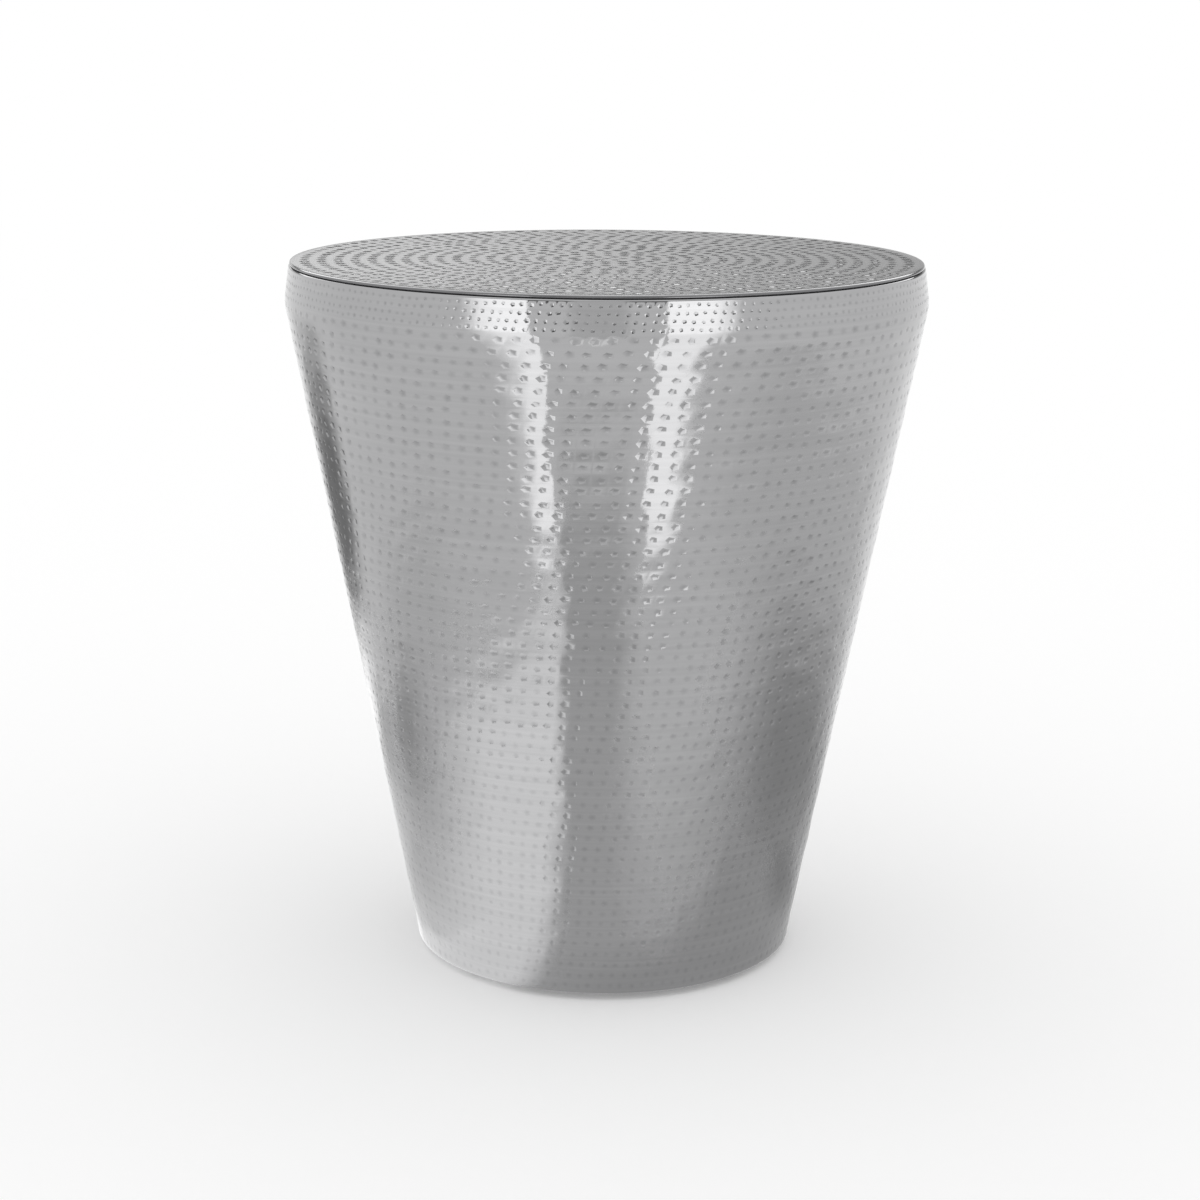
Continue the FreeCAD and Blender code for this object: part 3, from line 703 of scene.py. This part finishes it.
rim_outside = [point for point, normal in rim_side[1:]]
rim_inside = [point - normal * sheet_wall for point, normal in rim_side[:0:-1]]
turned([top_mesh], [*rim_outside, *rim_inside], top_edge_points, closed_in=True)
# The turned-down side of the rim takes the full dent darkening: painted shade for the dark line under the
# rim.
rim_painted_shade = top_mesh.attributes["dent"].data
for vertex in top_mesh.vertices:
    if vertex.co.xy.length > plate_radius and top_height - vertex.co.z > rim_painted_shade_start:
        rim_painted_shade[vertex.index].value = rim_painted_shade_force
top_sheet = bpy.data.objects.new("hammered_top", top_mesh)
bpy.context.scene.collection.objects.link(top_sheet)
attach(top_sheet, "root")
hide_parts("top_skin")

# Top core: a round board of birch plywood glued under the skin to keep it flat.
# It plugs the mouth of the drum and so centres the top.
dress(plywood("core_plywood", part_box("top_core")[0].z), "top_core")

# Rim gasket: a ring of pressed felt that lies on the drum's mouth under the edge of the skin.
# It stops the two sheets from rattling, and is the dark in the line under the rim.
felt_dark = (0.055, 0.055, 0.06)
felt_pale = (0.14, 0.14, 0.15)
felt_sheen = 0.2


def pressed_felt(name):
    """Dark grey felt: matted fibres, paler where they stand up."""
    material, tree, shader, place = new_finish(name)
    fibres = noise(tree, place, scale=900.0, detail=5.0, distortion=1.2)
    mat = noise(tree, place, scale=120.0, detail=4.0)
    shade = toned(tree, between(tree, mat, fibres, 0.6), 0.3, felt_dark, 0.72, felt_pale)
    shader.inputs["Sheen Weight"].default_value = felt_sheen
    put_on(tree, shader, shade, between(tree, 0.85, 1.0, fibres), fibres, strength=0.6, depth=0.0004)
    return material


dress(pressed_felt("pressed_felt"), "rim_gasket")

# Top clips: four strips of zinc-plated steel, bent to hook under the drum's mouth and hold the top down.
# Two pan-head wood screws fix each one under the core.
dress(zinc, "top_clip_1", "top_clip_2", "top_clip_3", "top_clip_4", "clip_screws")

# Studio: a plain white floor under soft white light from all round.
# Soft boxes and grey flags of card stand round the table, and sheets lie on the floor as painted shadows and
# painted pools of light. They light nothing: the polished metal mirrors them, as strips of light and darker
# bands, and the floor sheets as painted shade and light in the floor it reflects.
floor_radius = 6.0
floor_steps = 96
floor_colour = (0.9, 0.9, 0.9, 1)
white = (1, 1, 1, 1)
white_shortfall = 0.1

scene = bpy.context.scene
scene.view_settings.view_transform = "Standard"
world = bpy.data.worlds.new("white_room")
world.use_nodes = True
world.node_tree.nodes["Background"].inputs["Color"].default_value = white
world.node_tree.nodes["Background"].inputs["Strength"].default_value = 1.0
scene.world = world

floor_mesh = bpy.data.meshes.new("floor")
floor_disc = bmesh.new()
bmesh.ops.create_circle(floor_disc, cap_ends=True, radius=floor_radius, segments=floor_steps)
floor_disc.to_mesh(floor_mesh)
floor_disc.free()
floor = bpy.data.objects.new("floor", floor_mesh)
scene.collection.objects.link(floor)
floor_finish = bpy.data.materials.new("white_floor")
floor_finish.use_nodes = True
floor_tree = floor_finish.node_tree
floor_shader = floor_tree.nodes["Principled BSDF"]
floor_shader.inputs["Base Color"].default_value = floor_colour
floor_shader.inputs["Roughness"].default_value = 1.0
floor_shader.inputs["Specular IOR Level"].default_value = 0.0
floor_shader.inputs["Emission Color"].default_value = white
rays = node(floor_tree, "ShaderNodeLightPath", {}).outputs
seen = maths(floor_tree, "MAXIMUM", rays["Is Camera Ray"], rays["Is Glossy Ray"])
floor_glow = maths(floor_tree, "MULTIPLY", seen, white_shortfall)
floor_tree.links.new(floor_glow, floor_shader.inputs["Emission Strength"])
floor_mesh.materials.append(floor_finish)


def soft_card(name, corners, light, fades):
    """A glowing or dark card that only polished metal mirrors. Its corners run along the lower edge and back
    along the upper one. Its fades are the shares of its width and height over which it melts away:
    where the edges start, where they end, low and high."""
    mesh = bpy.data.meshes.new(name)
    mesh.from_pydata(corners, [], [(0, 1, 2, 3)])
    spread = mesh.uv_layers.new(name="spread")
    for loop, place in zip(spread.data, ((0, 0), (1, 0), (1, 1), (0, 1))):
        loop.uv = place
    finish = bpy.data.materials.new(name)
    finish.use_nodes = True
    tree = finish.node_tree
    tree.nodes.clear()
    place = node(tree, "ShaderNodeUVMap", {}, uv_map="spread").outputs[0]
    along, up, unused = node(tree, "ShaderNodeSeparateXYZ", {0: place}).outputs
    cover = 1.0
    for distance, fade in ((along, fades[0]), (maths(tree, "SUBTRACT", 1.0, along), fades[1]),
                           (up, fades[2]), (maths(tree, "SUBTRACT", 1.0, up), fades[3])):
        edge = node(tree, "ShaderNodeMapRange", {0: distance, 1: 0.0, 2: fade},
                    interpolation_type="SMOOTHSTEP")
        cover = maths(tree, "MULTIPLY", cover, edge.outputs[0])
    glow = node(tree, "ShaderNodeEmission", {"Strength": light})
    clear = node(tree, "ShaderNodeBsdfTransparent", {})
    mixed = node(tree, "ShaderNodeMixShader", {0: cover, 1: clear.outputs[0], 2: glow.outputs[0]})
    node(tree, "ShaderNodeOutputMaterial", {0: mixed.outputs[0]})
    mesh.materials.append(finish)
    card = bpy.data.objects.new(name, mesh)
    scene.collection.objects.link(card)
    card.visible_camera = False
    card.visible_diffuse = False
    card.visible_shadow = False
    card.visible_transmission = False


def upright_card(name, distance, low_turns, high_turns, low, high, light, fades):
    """A card that stands at a distance from the drum's axis. Its lower and its upper edge each run
    from one turn to another, in degrees from the camera's side."""
    corners = []
    for degrees, height in zip((*low_turns, *reversed(high_turns)), (low, low, high, high)):
        turn = math.radians(degrees)
        corners.append((distance * math.sin(turn), -distance * math.cos(turn), height))
    soft_card(name, corners, light, fades)


def facing_card(name, distance, sides, low, high, light, fades):
    """A card that stands behind the table and faces the camera."""
    soft_card(name, [(side, distance, height) for side, height in zip(
        (*sides, *reversed(sides)), (low, low, high, high))], light, fades)


def flat_card(name, middle, half_size, height, light, fades):
    """A level card, over the floor or overhead."""
    corners = [(middle[0] + side * half_size[0], middle[1] + end * half_size[1], height)
               for side, end in ((-1, -1), (1, -1), (1, 1), (-1, 1))]
    soft_card(name, corners, light, fades)


upright_card("left_soft_box", 0.63, (-27, -16.9), (-45.5, -22.5), 0.0, 0.62, 1.85, (0.6, 0.01, 0.18, 0.05))
upright_card("left_upper_box", 0.62, (-40.5, -21), (-45.5, -22.5), 0.45, 0.62, 2.12, (0.6, 0.01, 0.35, 0.05))
upright_card("right_soft_box", 0.63, (12.6, 24), (17.5, 41.3), 0.0, 0.62, 1.85, (0.01, 0.6, 0.18, 0.05))
upright_card("right_upper_box", 0.62, (16.2, 36.6), (17.5, 41.3), 0.45, 0.62, 2.12, (0.01, 0.6, 0.35, 0.05))
upright_card("front_flag", 2.2, (-14, 9), (-14, 9), 0.16, 1.6, 0.82, (0.2, 0.2, 0.05, 0.1))
upright_card("back_flag", 0.75, (-110, -158), (-103, -142), 0.0, 0.41, 0.27, (0.4, 0.4, 0.28, 0.55))
facing_card("far_flag", 3.0, (3.0, -3.0), 0.6, 1.1, 1.02, (0.1, 0.1, 0.1, 0.1))
facing_card("far_right_flag", 2.98, (3.0, -0.7), 0.6, 1.1, 0.47, (0.1, 0.4, 0.1, 0.1))
facing_card("far_low_flag", 2.97, (3.0, -3.0), 0.55, 0.84, 0.5, (0.1, 0.1, 0.1, 0.48))
facing_card("far_dark_flag", 2.96, (3.0, -3.0), 0.96, 1.42, 0.25, (0.1, 0.1, 0.15, 0.1))
facing_card("far_light", 3.0, (3.0, -3.0), 1.38, 3.3, 2.0, (0.1, 0.1, 0.05, 0.1))
facing_card("near_flag", 0.7, (1.4, -0.8), 0.62, 0.76, 0.15, (0.3, 0.25, 0.2, 0.1))
# Level sheets just over the floor: painted shadows of the table and painted pools of light, seen only in the
# metal's reflection of the floor.
flat_card("front_far_light", (-0.08, -2.2), (0.16, 0.75), 0.0012, 1.3, (0.25, 0.25, 0.2, 0.2))
flat_card("ceiling_flag", (0.0, -3.05), (3.0, 1.45), 1.5, 0.2, (0.1, 0.1, 0.1, 0.1))
soft_card("left_floor_light", [(-0.16, 0.14, 0.0008), (-0.6, -0.2, 0.0008), (-0.165, -0.8, 0.0008),
                               (-0.034, -0.12, 0.0008)], 1.34, (0.1, 0.3, 0.35, 0.16))
soft_card("front_floor_flag", [(-0.3, -1.0, 0.001), (0.21, -1.0, 0.001), (0.09, -0.1, 0.001),
                               (-0.08, -0.1, 0.001)], 0.69, (0.4, 0.25, 0.4, 0.02))
flat_card("right_far_flag", (0.82, 0.0), (0.5, 0.9), 0.0012, 0.84, (0.3, 0.3, 0.3, 0.3))
flat_card("right_floor_flag", (0.4, 0.1), (0.45, 0.5), 0.0015, 0.44, (0.5, 0.45, 0.35, 0.5))
flat_card("left_far_flag", (-0.65, -0.1), (0.25, 0.35), 0.0012, 0.86, (0.4, 0.4, 0.4, 0.4))
flat_card("left_floor_flag", (-0.47, 0.06), (0.2, 0.2), 0.0015, 0.55, (0.5, 0.5, 0.5, 0.5))
flat_card("left_back_flag", (-0.4, 0.26), (0.16, 0.14), 0.0018, 0.72, (0.4, 0.4, 0.4, 0.4))
flat_card("back_floor_light", (-0.38, 0.52), (0.3, 0.2), 0.0015, 1.35, (0.5, 0.5, 0.5, 0.5))
flat_card("foot_shadow", (0.1, -0.04), (0.18, 0.17), 0.002, 0.55, (0.3, 0.25, 0.2, 0.2))
flat_card("right_foot_shadow", (0.23, 0.01), (0.09, 0.08), 0.0022, 0.4, (0.45, 0.45, 0.45, 0.45))

# Camera: it stands before the table, a little above the top, with a long lens.
# Its place, its turns and its lens were fitted to the outline of the table in the photograph.
camera_place = Vector((0.0, -1.8263, 0.6953))
camera_pan = math.radians(0.113)
camera_tilt = math.radians(76.528)
camera_roll = math.radians(0.333)
camera_lens = 76.63
camera_sensor = 36.0

camera_data = bpy.data.cameras.new("camera")
camera_data.lens = camera_lens
camera_data.sensor_width = camera_sensor
camera = bpy.data.objects.new("camera", camera_data)
scene.collection.objects.link(camera)
camera.matrix_world = (Matrix.Translation(camera_place) @ Matrix.Rotation(camera_pan, 4, "Z")
                       @ Matrix.Rotation(camera_tilt, 4, "X") @ Matrix.Rotation(camera_roll, 4, "Z"))
scene.camera = camera
